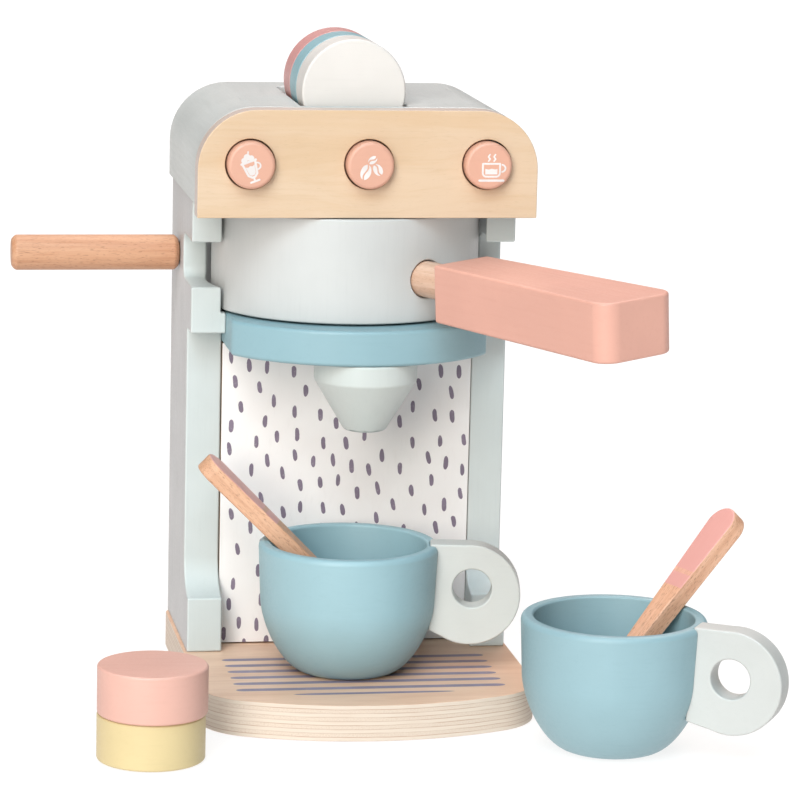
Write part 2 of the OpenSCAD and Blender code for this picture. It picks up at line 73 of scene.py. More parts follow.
# ---------------------------------------------------------------- node graphs
class Graph:
    """A material with a Principled shader and short calls for its nodes."""

    def __init__(self, name):
        self.mat = bpy.data.materials.new(name)
        self.mat.use_nodes = True
        self.nt = self.mat.node_tree
        self.nt.nodes.clear()
        out = self.nt.nodes.new("ShaderNodeOutputMaterial")
        self.bsdf = self.nt.nodes.new("ShaderNodeBsdfPrincipled")
        self.nt.links.new(self.bsdf.outputs[0], out.inputs[0])
        self._tc = None

    def put(self, socket, value):
        if hasattr(value, "node"):
            self.nt.links.new(value, socket)
        elif isinstance(value, (tuple, list)) and len(value) == 3 and len(socket.default_value) == 4:
            socket.default_value = (*value, 1.0)
        else:
            socket.default_value = value

    def tex(self, which):
        if self._tc is None:
            self._tc = self.nt.nodes.new("ShaderNodeTexCoord")
        return self._tc.outputs[which]

    def math(self, op, a, b=0.0, c=0.0, clamp=False):
        n = self.nt.nodes.new("ShaderNodeMath")
        n.operation, n.use_clamp = op, clamp
        for s, v in zip(n.inputs, (a, b, c)):
            self.put(s, v)
        return n.outputs[0]

    def vec(self, op, a, b=(0.0, 0.0, 0.0), scale=None):
        n = self.nt.nodes.new("ShaderNodeVectorMath")
        n.operation = op
        self.put(n.inputs[0], a)
        if scale is None:
            self.put(n.inputs[1], b)
        else:
            self.put(n.inputs["Scale"], scale)
        return n.outputs["Value" if op in ("DOT_PRODUCT", "LENGTH", "DISTANCE") else "Vector"]

    def split(self, v):
        n = self.nt.nodes.new("ShaderNodeSeparateXYZ")
        self.put(n.inputs[0], v)
        return n.outputs

    def join(self, x, y, z):
        n = self.nt.nodes.new("ShaderNodeCombineXYZ")
        for s, v in zip(n.inputs, (x, y, z)):
            self.put(s, v)
        return n.outputs[0]

    def noise(self, v, scale=1.0, detail=2.0, rough=0.5, distort=0.0):
        n = self.nt.nodes.new("ShaderNodeTexNoise")
        self.put(n.inputs["Vector"], v)
        n.inputs["Scale"].default_value = scale
        n.inputs["Detail"].default_value = detail
        n.inputs["Roughness"].default_value = rough
        n.inputs["Distortion"].default_value = distort
        return n.outputs[0]

    def range(self, v, a, b, c, d, smooth=True):
        n = self.nt.nodes.new("ShaderNodeMapRange")
        n.interpolation_type = "SMOOTHSTEP" if smooth else "LINEAR"
        self.put(n.inputs["Value"], v)
        for k, x in zip(("From Min", "From Max", "To Min", "To Max"), (a, b, c, d)):
            n.inputs[k].default_value = x
        return n.outputs[0]

    def mix(self, fac, a, b, blend="MIX"):
        n = self.nt.nodes.new("ShaderNodeMix")
        n.data_type, n.blend_type = "RGBA", blend
        n.clamp_factor = True
        self.put(n.inputs["Factor"], fac)
        self.put([s for s in n.inputs if s.name == "A" and s.type == "RGBA"][0], a)
        self.put([s for s in n.inputs if s.name == "B" and s.type == "RGBA"][0], b)
        return [s for s in n.outputs if s.type == "RGBA"][0]

    def bump(self, height, strength, distance, base=None):
        n = self.nt.nodes.new("ShaderNodeBump")
        n.inputs["Strength"].default_value = strength
        n.inputs["Distance"].default_value = distance
        self.put(n.inputs["Height"], height)
        if base is not None:
            self.put(n.inputs["Normal"], base)
        return n.outputs[0]

    def set(self, **kw):
        for k, v in kw.items():
            self.put(self.bsdf.inputs[k.replace("_", " ")], v)
        return self.mat


def frame_axes(turn, lean=0.0, roll=0.0):
    r = (Matrix.Rotation(math.radians(turn), 3, "Z")
         @ Matrix.Rotation(math.radians(-lean), 3, "Y")
         @ Matrix.Rotation(math.radians(roll), 3, "X"))
    return r.col[0].copy(), r.col[1].copy(), r.col[2].copy()


def own_coords(g, axes, origin=(0, 0, 0)):
    """Position in metres along three given axes."""
    p = g.vec("SUBTRACT", g.tex("Object"), tuple(c * MM for c in origin))
    return g.join(*[g.vec("DOT_PRODUCT", p, tuple(a)) for a in axes])


def stretched(g, v, sx, sy, sz):
    return g.vec("MULTIPLY", v, (sx, sy, sz))


XYZ = (Vector((1, 0, 0)), Vector((0, 1, 0)), Vector((0, 0, 1)))
ZXY = (Vector((0, 0, 1)), Vector((1, 0, 0)), Vector((0, 1, 0)))
YZX = (Vector((0, 1, 0)), Vector((0, 0, 1)), Vector((1, 0, 0)))


def paint_parts(g, rgb, axes=ZXY, depth=1.0, mottle=1.0):
    """Colour, roughness and normal of satin paint over fine-grained wood."""
    p = own_coords(g, axes)
    cloud = g.noise(p, 26.0, 3.0, 0.55)
    grain = g.noise(stretched(g, p, 34, 620, 620), 1.0, 3.0, 0.62, 0.3)
    pores = g.noise(stretched(g, p, 190, 2400, 2400), 1.0, 2.0, 0.5)
    skin = g.noise(p, 900.0, 2.0, 0.5)
    dark, light = scaled(rgb, 1 - 0.035 * mottle), scaled(rgb, 1 + 0.03 * mottle)
    c = g.mix(g.range(cloud, 0.3, 0.7, 0, 1), dark, light)
    c = g.mix(g.range(grain, 0.52, 0.72, 0, 0.10 * mottle), c, scaled(rgb, 0.80))
    c = g.mix(g.range(pores, 0.66, 0.78, 0, 0.16 * mottle), c, scaled(rgb, 0.74))
    rough = g.math("ADD", g.range(grain, 0.3, 0.7, 0.40, 0.50), g.range(skin, 0.35, 0.65, -0.03, 0.05))
    h = g.math("ADD", g.math("MULTIPLY", grain, 0.9), g.math("MULTIPLY", skin, 0.35))
    h = g.math("SUBTRACT", h, g.range(pores, 0.66, 0.8, 0, 0.5))
    return c, rough, g.bump(h, 0.10 * depth, 0.0003)


def paint(name, hexcol, axes=ZXY, depth=1.0, mottle=1.0, coat=0.0, k=(1, 1, 1)):
    g = Graph(name)
    c, r, n = paint_parts(g, linear(hexcol, k), axes, depth, mottle)
    return g.set(Base_Color=c, Roughness=r, Normal=n, Coat_Weight=coat, Coat_Roughness=0.35)


def side_shaded_paint(name, hexcol, k=(1, 1, 1), left_shade=(1, 1, 1)):
    """Paint whose faces towards -x are multiplied by a darker, pinker tone on top of k: painted shade for the dimmer,
    warmer light that side gets.
    """
    g = Graph(name)
    c, r, n = paint_parts(g, linear(hexcol, k))
    nx = g.split(g.tex("Normal"))[0]
    return g.set(Base_Color=g.mix(g.range(nx, -0.95, -0.6, 1, 0), c, left_shade, "MULTIPLY"), Roughness=r, Normal=n)


def beech_parts(g, axes, origin=(0, 0, 0), light="#E9B58F", dark="#C98A62", flecks=1.0, k=(1, 1, 1)):
    """Colour, roughness and height of oiled beech, grain along the first axis."""
    p = own_coords(g, axes, origin)
    wobble = g.noise(stretched(g, p, 18, 60, 60), 1.0, 2.0, 0.5)
    q = g.vec("ADD", p, g.vec("SCALE", g.join(0.0, wobble, wobble), scale=0.004))
    bands = g.noise(stretched(g, q, 9, 330, 330), 1.0, 3.0, 0.6)
    fine = g.noise(stretched(g, q, 60, 1500, 1500), 1.0, 3.0, 0.6)
    fleck = g.noise(stretched(g, q, 430, 3600, 3600), 1.0, 1.0, 0.4)
    lo, hi = linear(dark, k), linear(light, k)
    c = g.mix(g.range(bands, 0.34, 0.68, 0, 1), hi, tuple((a * 0.55 + b * 0.45) for a, b in zip(lo, hi)))
    c = g.mix(g.range(fine, 0.5, 0.74, 0, 0.45), c, lo)
    c = g.mix(g.range(fleck, 0.60, 0.70, 0, 0.50 * flecks), c, scaled(lo, 0.55))
    r = g.range(fine, 0.3, 0.7, 0.46, 0.6)
    h = g.math("SUBTRACT", g.math("MULTIPLY", fine, 0.6), g.range(fleck, 0.58, 0.7, 0, 0.7))
    return c, r, h


def beech(name, axes, origin=(0, 0, 0), light="#E9B58F", dark="#C98A62", flecks=1.0, k=(1, 1, 1)):
    g = Graph(name)
    c, r, h = beech_parts(g, axes, origin, light, dark, flecks, k)
    return g.set(Base_Color=c, Roughness=r, Normal=g.bump(h, 0.22, 0.0003))


def birch_parts(g, axes, light="#F6D9B6", dark="#E9BF92", k=(1, 1, 1)):
    p = own_coords(g, axes)
    warp = g.noise(stretched(g, p, 14, 30, 30), 1.0, 2.0, 0.5)
    q = g.vec("ADD", p, g.vec("SCALE", g.join(0.0, warp, warp), scale=0.012))
    figure = g.noise(stretched(g, q, 9, 75, 75), 1.0, 4.0, 0.62, 0.4)
    streak = g.noise(stretched(g, q, 26, 560, 560), 1.0, 3.0, 0.6)
    pores = g.noise(stretched(g, q, 320, 3600, 3600), 1.0, 1.0, 0.5)
    cloud = g.noise(p, 38.0, 2.0, 0.5)
    lo, hi = linear(dark, k), linear(light, k)
    c = g.mix(g.range(figure, 0.36, 0.66, 0, 0.75), hi, lo)
    c = g.mix(g.range(streak, 0.50, 0.74, 0, 0.34), c, scaled(lo, 0.90))
    c = g.mix(g.range(pores, 0.64, 0.74, 0, 0.20), c, scaled(lo, 0.66))
    c = g.mix(g.range(cloud, 0.32, 0.7, 0, 0.22), c, scaled(hi, 1.04))
    r = g.range(streak, 0.3, 0.7, 0.40, 0.52)
    h = g.math("SUBTRACT", g.math("MULTIPLY", streak, 0.6), g.range(pores, 0.6, 0.76, 0, 0.5))
    return c, r, h


def ply_edge(g, across, along, plies, light="#F8EADA", dark="#E6CDB8", line="#C39A84", t=15.0, k=(1, 1, 1)):
    """Colour of a plywood edge. across and along are positions in metres through the plies and along the edge."""
    w = g.noise(g.join(g.math("MULTIPLY", along, 55.0), g.math("MULTIPLY", across, 160.0), 0.0), 1.0, 2.0, 0.5)
    z = g.math("ADD", g.math("MULTIPLY", across, plies / (t * MM)), g.math("MULTIPLY", g.math("SUBTRACT", w, 0.5), 0.35))
    f = g.math("FRACT", z)
    half = g.math("FRACT", g.math("MULTIPLY", g.math("FLOOR", z), 0.5))
    odd = g.math("GREATER_THAN", half, 0.25)
    specks = g.noise(g.join(g.math("MULTIPLY", along, 1900.0), g.math("MULTIPLY", across, 2600.0), 0.0), 1.0, 2.0, 0.6)
    longs = g.noise(g.join(g.math("MULTIPLY", along, 60.0), g.math("MULTIPLY", across, 5200.0), 0.0), 1.0, 2.0, 0.6)
    lo, hi, ln = linear(dark, k), linear(light, k), linear(line, k)
    even_c = g.mix(g.range(longs, 0.4, 0.72, 0, 0.5), hi, lo)
    odd_c = g.mix(g.range(specks, 0.42, 0.70, 0, 0.65), tuple(a * 0.25 + b * 0.75 for a, b in zip(lo, hi)), scaled(lo, 0.93))
    c = g.mix(odd, even_c, odd_c)
    edge = g.math("MINIMUM", f, g.math("SUBTRACT", 1.0, f))
    patch = g.noise(g.join(g.math("MULTIPLY", along, 34.0), g.math("MULTIPLY", across, 420.0), 7.0), 1.0, 2.0, 0.6)
    c = g.mix(g.math("MULTIPLY", g.range(edge, 0.02, 0.15, 0.75, 0.0), g.range(patch, 0.30, 0.62, 0.25, 1.0)), c, ln)
    h = g.math("ADD", g.math("MULTIPLY", specks, 0.5), g.range(edge, 0.0, 0.14, -0.5, 0.0))
    return c, h


# ---------------------------------------------------------------- materials
# painted light: base colours brightened for the base top, which the front light reaches at a slant, and for the
# recessed printed board, which lies in shade
BASE_TOP_PAINTED_LIGHT = (1.425, 1.38, 1.31)
RECESS_PAINTED_LIGHT = (1.45, 1.45, 1.47)


def base_material():
    g = Graph("base_plywood")
    # the top's wood colours are brightened as painted light
    c, r, h = birch_parts(g, XYZ, "#E7C4AC", "#D6AC92", BASE_TOP_PAINTED_LIGHT)
    x, y, z = g.split(g.tex("Object"))
    along = g.math("ADD", x, g.math("MULTIPLY", y, 0.7))
    ec, eh = ply_edge(g, z, along, 9, k=(1.034, 1.0, 0.977))
    nz = g.math("ABSOLUTE", g.split(g.tex("Normal"))[2])
    top = g.range(nz, 0.55, 0.8, 0, 1)
    colour = g.mix(top, ec, c)
    height = g.math("ADD", g.math("MULTIPLY", h, 1.0), g.math("MULTIPLY", eh, 0.8))
    return g.set(Base_Color=colour, Roughness=g.range(top, 0, 1, 0.62, 0.42), Normal=g.bump(height, 0.16, 0.0003))


def board_material(name, plies, axis, t, origin):
    """Plywood board whose faces lie across the given axis (0, 1 or 2)."""
    g = Graph(name)
    c, r, h = birch_parts(g, XYZ, "#EFD3B2", "#DDB68D")
    p = g.split(g.tex("Object"))
    across = g.math("SUBTRACT", p[axis], origin * MM)
    along = g.math("ADD", p[(axis + 1) % 3], p[(axis + 2) % 3])
    ec, eh = ply_edge(g, across, along, plies, t=t)
    n = g.math("ABSOLUTE", g.split(g.tex("Normal"))[axis])
    face = g.range(n, 0.55, 0.8, 0, 1)
    return g.set(Base_Color=g.mix(face, ec, c), Roughness=r, Normal=g.bump(g.math("ADD", h, eh), 0.15, 0.0003))


def fascia_material():
    g = Graph("fascia_birch")
    c, r, h = birch_parts(g, XYZ, "#F6D8B8", "#EEC9A0")
    ny = g.math("ABSOLUTE", g.split(g.tex("Normal"))[1])
    p = g.tex("Object")
    x, y, z = g.split(p)
    # end grain round the outer edge, darker and greyer than the face: partly the end grain's own tone, partly painted
    # shade for the dimmer, pinker light the edges get
    speck = g.noise(stretched(g, p, 2200, 900, 2200), 1.0, 2.0, 0.6)
    edge = g.mix(g.range(speck, 0.4, 0.7, 0, 0.6), linear("#E8D6CB"), linear("#D6BBAC"))
    # the walls of the three holes
    d = None
    for i in (-1, 0, 1):
        v = g.vec("DISTANCE", g.join(x, 0.0, z), (i * BUTTON_PITCH * MM, 0.0, BUTTON_Z * MM))
        d = v if d is None else g.math("MINIMUM", d, v)
    hole = g.range(d, 0.0112, 0.0120, 1, 0)
    edge = g.mix(hole, edge, linear("#EFD3B4"))
    face = g.range(ny, 0.30, 0.62, 0, 1)
    return g.set(Base_Color=g.mix(face, edge, c), Roughness=r, Normal=g.bump(g.math("MULTIPLY", h, face), 0.14, 0.0003))


def panel_material():
    g = Graph("printed_board")
    p = g.tex("Object")
    cloud = g.noise(p, 30.0, 3.0, 0.5)
    fibre = g.noise(stretched(g, p, 500, 500, 120), 1.0, 3.0, 0.6)
    ny = g.math("ABSOLUTE", g.split(g.tex("Normal"))[1])
    # the white is brightened as painted light for the shade in the recess
    white = g.mix(g.range(cloud, 0.3, 0.7, 0, 1), linear("#EDE9E6", RECESS_PAINTED_LIGHT), linear("#F3F0ED", RECESS_PAINTED_LIGHT))
    white = g.mix(g.range(fibre, 0.55, 0.75, 0, 0.12), white, linear("#DAD3CF", RECESS_PAINTED_LIGHT))
    core = g.mix(g.range(fibre, 0.4, 0.7, 0, 1), linear("#B79B80"), linear("#8E735C"))
    c = g.mix(g.range(ny, 0.6, 0.8, 0, 1), core, white)
    return g.set(Base_Color=c, Roughness=g.range(fibre, 0.3, 0.7, 0.42, 0.52), Normal=g.bump(fibre, 0.05, 0.0002))


def steel(name, axes=XYZ, tint="#C4C8CC", rough=0.34):
    g = Graph(name)
    p = own_coords(g, axes)
    brush = g.noise(stretched(g, p, 60, 3200, 3200), 1.0, 3.0, 0.6)
    spots = g.noise(p, 420.0, 3.0, 0.6)
    c = g.mix(g.range(spots, 0.35, 0.7, 0, 0.35), linear(tint), linear("#A2A6AA"))
    r = g.math("ADD", g.range(brush, 0.3, 0.7, rough - 0.08, rough + 0.1), g.range(spots, 0.4, 0.7, 0, 0.06))
    return g.set(Base_Color=c, Metallic=1.0, Roughness=r, Normal=g.bump(brush, 0.12, 0.0001))


def ink(name, hexcol, worn=0.25, under="#F0ECE9", k=(1, 1, 1)):
    """Screen-printed ink with a slightly uneven coat."""
    g = Graph(name)
    p = g.tex("Object")
    coat = g.noise(p, 700.0, 3.0, 0.6)
    wide = g.noise(p, 90.0, 2.0, 0.5)
    rgb = linear(hexcol, k)
    c = g.mix(g.range(wide, 0.35, 0.65, 0, 1), scaled(rgb, 0.92), scaled(rgb, 1.08))
    c = g.mix(g.range(coat, 0.52, 0.78, 0, worn), c, linear(under, k))
    return g.set(Base_Color=c, Roughness=g.range(coat, 0.3, 0.7, 0.45, 0.6), Normal=g.bump(coat, 0.06, 0.0001))


def spoon_material(name, node, wood=(1.2, 1.22, 1.28), painted=(1.08, 1.1, 1.15)):
    """Beech stick whose broad upper face is painted at the wide end, with a bare ring. wood and painted lighten its
    wood and paint colours, painted light for the light the stick gets.
    """
    origin, turn, lean, roll = SPOONS[node]
    axes = frame_axes(turn, lean, roll)
    g = Graph(name)
    c, r, h = beech_parts(g, axes, origin, "#E7B48F", "#C58A64", 1.35, wood)
    u, v, w = g.split(own_coords(g, axes, origin))
    pc, pr, pn = paint_parts(g, linear("#F2AFA2", painted), axes, 0.8, 0.7)
    ragged = g.math("MULTIPLY", g.math("SUBTRACT", g.noise(g.join(v, w, 0.0), 900.0, 2.0, 0.5), 0.5), 0.0006)
    ur = g.math("ADD", u, ragged)
    face = g.range(w, (SPOON_T / 2 - 0.42) * MM, (SPOON_T / 2 - 0.22) * MM, 0, 1)
    end = g.range(ur, 0.0712, 0.0715, 0, 1)
    ring = g.math("MULTIPLY", g.range(ur, 0.0776, 0.0779, 0, 1), g.range(ur, 0.0797, 0.0800, 0.62, 0))
    mask = g.math("MULTIPLY", face, g.math("SUBTRACT", end, ring, clamp=True))
    rough = g.math("ADD", g.math("MULTIPLY", mask, -0.05), r)
    return g.set(Base_Color=g.mix(mask, c, pc), Roughness=rough,
                 Normal=g.bump(g.math("MULTIPLY", h, g.math("SUBTRACT", 1.0, mask)), 0.22, 0.0003))


MINT = "#E1E8E5"
BLUE = "#ABD2DB"
PINK = "#F3BAA8"
YELLOW = "#F7E2AC"
WHITE = "#F8F4F1"

d = Vector((math.cos(math.radians(HANDLE_DIR)), math.sin(math.radians(HANDLE_DIR)), 0))
HANDLE_AXES = (d, Vector((-d.y, d.x, 0)), Vector((0, 0, 1)))

# the k tuples below, and the spoons' wood and paint factors, lighten or darken a part's base colour for the light its
# place gets: painted light and shade
MAT = {
    "base_plate": base_material(),
    # the left panel's outer face towards -x gets painted shade
    "left_side_panel": side_shaded_paint("mint_left", MINT, (1.05, 1.05, 1.06), (0.86, 0.78, 0.79)),
    "right_side_panel": paint("mint_right", MINT, ZXY, k=(1.2, 1.2, 1.22)),
    "splash_panel": panel_material(),
    "rear_panel": paint("mint_rear", "#D8E1DD", ZXY),
    "hood": paint("mint_hood", MINT, YZX, k=(0.985, 0.94, 0.94)),
    "hood_back": paint("mint_hood_back", "#D8E1DD", XYZ),
    "fascia": fascia_material(),
    "spring_board": board_material("spring_board_ply", 3, 1, 3.0, FACE_Y + 10),
    "ceiling_board": board_material("ceiling_ply", 5, 2, 5.5, 211.0),
    "pod_tray": board_material("tray_ply", 5, 2, 6.1, 233.9),
    "drip_shelf": paint("blue_shelf", BLUE, XYZ, k=(0.845, 0.85, 0.862)),
    "spout": paint("mint_spout", "#D3DFDB", ZXY, k=(1.16, 1.09, 1.09)),
    "spout_peg": beech("beech_spout_peg", ZXY),
    "drum_axle": beech("beech_axle", ZXY),
    "lever_peg": beech("beech_lever_peg", XYZ),
    "base_screws": steel("screw_zinc", ZXY),
    "rear_screws": steel("screw_zinc_rear", YZX),
    "drum": paint("mint_drum", "#E6EAE8", ZXY, k=(0.95, 0.92, 0.92)),
    "handle_dowel": beech("beech_handle_dowel", HANDLE_AXES, light="#EFC7A6", dark="#D3A27E", flecks=0.6, k=(1.15, 1.18, 1.32)),
    "handle_grip": paint("pink_grip", "#F2BAA9", HANDLE_AXES, 1.3, k=(1.08, 1.02, 0.99)),
    "side_lever": beech("beech_lever", XYZ, (-69, 53.5, 181), k=(1.046, 1.0, 1.0)),
    "button_left": paint("pink_button_left", "#F5BEA8", XYZ, 0.7, coat=0.12, k=(1.0, 0.954, 0.908)),
    "button_centre": paint("pink_button_centre", "#F5BEA8", XYZ, 0.7, coat=0.12, k=(1.0, 0.954, 0.908)),
    "button_right": paint("pink_button_right", "#F5BEA8", XYZ, 0.7, coat=0.12, k=(1.0, 0.954, 0.908)),
    "spring_left": steel("spring_wire_left", XYZ, "#B9BDC2", 0.28),
    "spring_centre": steel("spring_wire_centre", XYZ, "#B9BDC2", 0.28),
    "spring_right": steel("spring_wire_right", XYZ, "#B9BDC2", 0.28),
    "button_washer_left": steel("washer_left"),
    "button_washer_centre": steel("washer_centre"),
    "button_washer_right": steel("washer_right"),
    "pod_white": paint("white_pod_paint", WHITE, XYZ, 0.8, k=(1.07, 1.046, 1.02)),
    "pod_blue": paint("blue_pod_paint", BLUE, XYZ, 0.8),
    "pod_pink": paint("pink_pod_paint", "#F0B0AC", XYZ, 0.8),
    "pod_pink_loose": paint("pink_loose_paint", "#F8C9B9", XYZ, 0.9, k=(1.057, 0.966, 0.954)),
    "pod_yellow": paint("yellow_pod_paint", YELLOW, XYZ, 0.9, k=(1.0, 0.966, 0.943)),
    "cup_one": paint("blue_cup_one", BLUE, XYZ, 1.2, k=(1.03, 1.0, 1.0)),
    "cup_one_handle": paint("mint_ear_one", MINT, XYZ, k=(1.05, 0.99, 0.97)),
    "cup_two": paint("blue_cup_two", BLUE, XYZ, 1.2, k=(0.965, 0.93, 0.935)),
    "cup_two_handle": paint("mint_ear_two", MINT, XYZ, k=(0.985, 0.93, 0.925)),
    "spoon_one": spoon_material("spoon_one_beech", "spoon_one"),
    "spoon_two": spoon_material("spoon_two_beech", "spoon_two", (1.36, 1.4, 1.55), (1.05, 1.05, 1.1)),
}

# rounding of each node's edges, in millimetres
ROUND = {
    "base_plate": 0.24, "left_side_panel": 0.9, "right_side_panel": 0.9, "splash_panel": 0.3,
    "rear_panel": 0.24, "hood": 0.9, "hood_back": 0.5, "fascia": 0.45, "spring_board": 0.2,
    "ceiling_board": 0.3, "pod_tray": 0.3, "drip_shelf": 1.6, "spout": 0.9, "spout_peg": 0.4,
    "drum": 0.8, "handle_dowel": 0.4, "handle_grip": 1.2, "side_lever": 0.7,
    "button_left": 0.6, "button_centre": 0.6, "button_right": 0.6,
    "button_washer_left": 0.2, "button_washer_centre": 0.2, "button_washer_right": 0.2,
    "pod_white": 0.35, "pod_blue": 0.35, "pod_pink": 0.35, "pod_pink_loose": 0.35, "pod_yellow": 0.35,
    "cup_one": 0.5, "cup_two": 0.5, "cup_one_handle": 0.8, "cup_two_handle": 0.8,
    "spoon_one": 0.7, "spoon_two": 0.7,
}


def soften(name, width, segments=4):
    """Rounds a CAD node's sharp edges with modifiers, and shades it smoothly."""
    o = NODES[name]
    me = o.data
    if "custom_normal" in me.attributes:
        me.attributes.remove(me.attributes["custom_normal"])
    me.polygons.foreach_set("use_smooth", [True] * len(me.polygons))
    m = o.modifiers.new("weld", "WELD")
    m.merge_threshold = 0.00001
    m = o.modifiers.new("planar", "DECIMATE")
    m.decimate_type = "DISSOLVE"
    m.angle_limit = math.radians(0.6)
    if width:
        m = o.modifiers.new("round", "BEVEL")
        m.width = width * MM
        m.segments = segments
        m.limit_method = "ANGLE"
        m.angle_limit = math.radians(24)
        m.profile = 0.5
        m.use_clamp_overlap = False
        m.miter_outer = "MITER_ARC"
    m = o.modifiers.new("normals", "WEIGHTED_NORMAL")
    m.mode = "FACE_AREA_WITH_ANGLE"
    m.weight = 60
    m.keep_sharp = False


for name, o in NODES.items():
    o.data.materials.clear()
    o.data.materials.append(MAT[name])
    soften(name, ROUND.get(name, 0))


# ---------------------------------------------------------------- printed pieces
def flat_piece(name, polys, place, material, body):
    """Thin printed shapes. polys are lists of (a, b) in mm, place maps (a, b, k) to a point in mm."""
    bm = bmesh.new()
    for k, pts in enumerate(polys):
        vs = [bm.verts.new(Vector(place(a, b, k)) * MM) for a, b in pts]
        bm.faces.new(vs)
    bm.normal_update()
    me = bpy.data.meshes.new(name)
    bm.to_mesh(me)
    bm.free()
    me.materials.append(material)
    o = bpy.data.objects.new(name, me)
    bpy.context.scene.collection.objects.link(o)
    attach(o, body)
    return o


def stroke_outline(cx, cy, w, length, tilt, rng):
    """A brushed dash, widest near its middle, with slightly uneven ends."""
    n = 15
    low, high = rng.uniform(2.6, 5.0), rng.uniform(2.6, 5.0)
    swell = rng.uniform(-0.12, 0.12)
    bend = rng.uniform(-0.10, 0.10)
    side = [[], []]
    for i in range(n + 1):
        t = -math.cos(math.pi * i / n)
        half = w / 2 * (1 - abs(t) ** (high if t > 0 else low)) ** 0.62 * (1 + swell * t)
        mid = bend * w * (1 - t * t)
        for k, sgn in enumerate((1, -1)):
            side[k].append((mid + sgn * (half + rng.uniform(-0.03, 0.03) * (abs(t) < 0.97)), t * length / 2))
    pts = side[0] + [p for p in reversed(side[1][1:-1])]
    c, s = math.cos(tilt), math.sin(tilt)
    return [(cx + a * c - b * s, cy + a * s + b * c) for a, b in pts]


rng = random.Random(41)
spots, tries = [], 0
while tries < 9000:
    tries += 1
    x = rng.uniform(-PANEL_HALF + 1.9, PANEL_HALF - 1.9)
    z = rng.uniform(PANEL_Z0 - 1, PANEL_Z1 + 1)
    if all(((x - a) / 0.92) ** 2 + ((z - b) / 1.12) ** 2 > 8.1 ** 2 for a, b in spots):
        spots.append((x, z))
dashes = []
for x, z in spots:
    pts = stroke_outline(x, z, rng.uniform(1.8, 2.15), rng.uniform(5.1, 6.2), math.radians(rng.uniform(-3, 12)), rng)
    lo, hi = PANEL_HALF - 0.15, PANEL_Z1 - 0.15
    pts = [(max(-lo, min(lo, a)), max(PANEL_Z0 + 0.15, min(hi, b))) for a, b in pts]
    keep = []
    for p in pts:
        if not keep or math.dist(p, keep[-1]) > 0.01:
            keep.append(p)
    wide = max(a for a, _ in keep) - min(a for a, _ in keep)
    tall = max(b for _, b in keep) - min(b for _, b in keep)
    if len(keep) > 5 and wide > 0.5 and tall > 1.0:
        dashes.append(keep)
# the dash ink is brightened like the board, as painted light for the shade in the recess
flat_piece("panel_print", dashes, lambda a, b, k: (a, PANEL_FRONT - 0.04, b),
           ink("panel_ink", "#7E7082", 0.16, k=(1.45, 1.45, 1.45)), "frame")


def bar(x0, x1, y, w, taper0, taper1):
    """A long printed line on the base with tapered ends."""
    n = 10
    up, down = [], []
    for i in range(n + 1):
        t = i / n
        up.append((x0 + taper0 * t, w / 2 * math.sqrt(max(0.0, 1 - (1 - t) ** 2))))
    for i in range(n + 1):
        t = i / n
        up.append((x1 - taper1 * (1 - t), w / 2 * math.sqrt(max(0.0, 1 - t ** 2))))
    pts = [(a, y + b) for a, b in up]
    down = [(a, y - b) for a, b in reversed(up[1:-1])]
    return pts + down


stripes = [bar(-55.8, 57.4, y - 27, 3.9, 4.5, 4.5) for y in (18.7, 9.0, -0.7, -10.4, -20.1, -29.9)]
stripes.append(bar(-33.1, 34.8, -38.4 - 27, 2.8, 14, 24))
# the stripe ink and its under-colour are brightened like the base top, as painted light
flat_piece("base_print", stripes, lambda a, b, k: (a, b, 15.03),
           ink("base_ink", "#8A8299", 0.38, "#D3B09A", BASE_TOP_PAINTED_LIGHT), "frame")


# button icons, own generic designs
def disc(cx, cy, r, n=24, sx=1.0, tilt=0.0):
    c, s = math.cos(tilt), math.sin(tilt)
    out = []
    for i in range(n):
        t = 2 * math.pi * i / n
        a, b = math.cos(t) * r * sx, math.sin(t) * r
        out.append((cx + a * c - b * s, cy + a * s + b * c))
    return out


def line(points, w):
    """Quads and round joints along a path."""
    out = []
    for (x0, y0), (x1, y1) in zip(points, points[1:]):
        L = math.hypot(x1 - x0, y1 - y0)
        nx, ny = -(y1 - y0) / L * w / 2, (x1 - x0) / L * w / 2
        out.append([(x0 + nx, y0 + ny), (x0 - nx, y0 - ny), (x1 - nx, y1 - ny), (x1 + nx, y1 + ny)])
    for x, y in points:
        out.append(disc(x, y, w / 2, 12))
    return out


def arc(cx, cy, r, a0, a1, n=16, ry=None):
    ry = r if ry is None else ry
    return [(cx + r * math.cos(math.radians(a0 + (a1 - a0) * i / n)),
             cy + ry * math.sin(math.radians(a0 + (a1 - a0) * i / n))) for i in range(n + 1)]


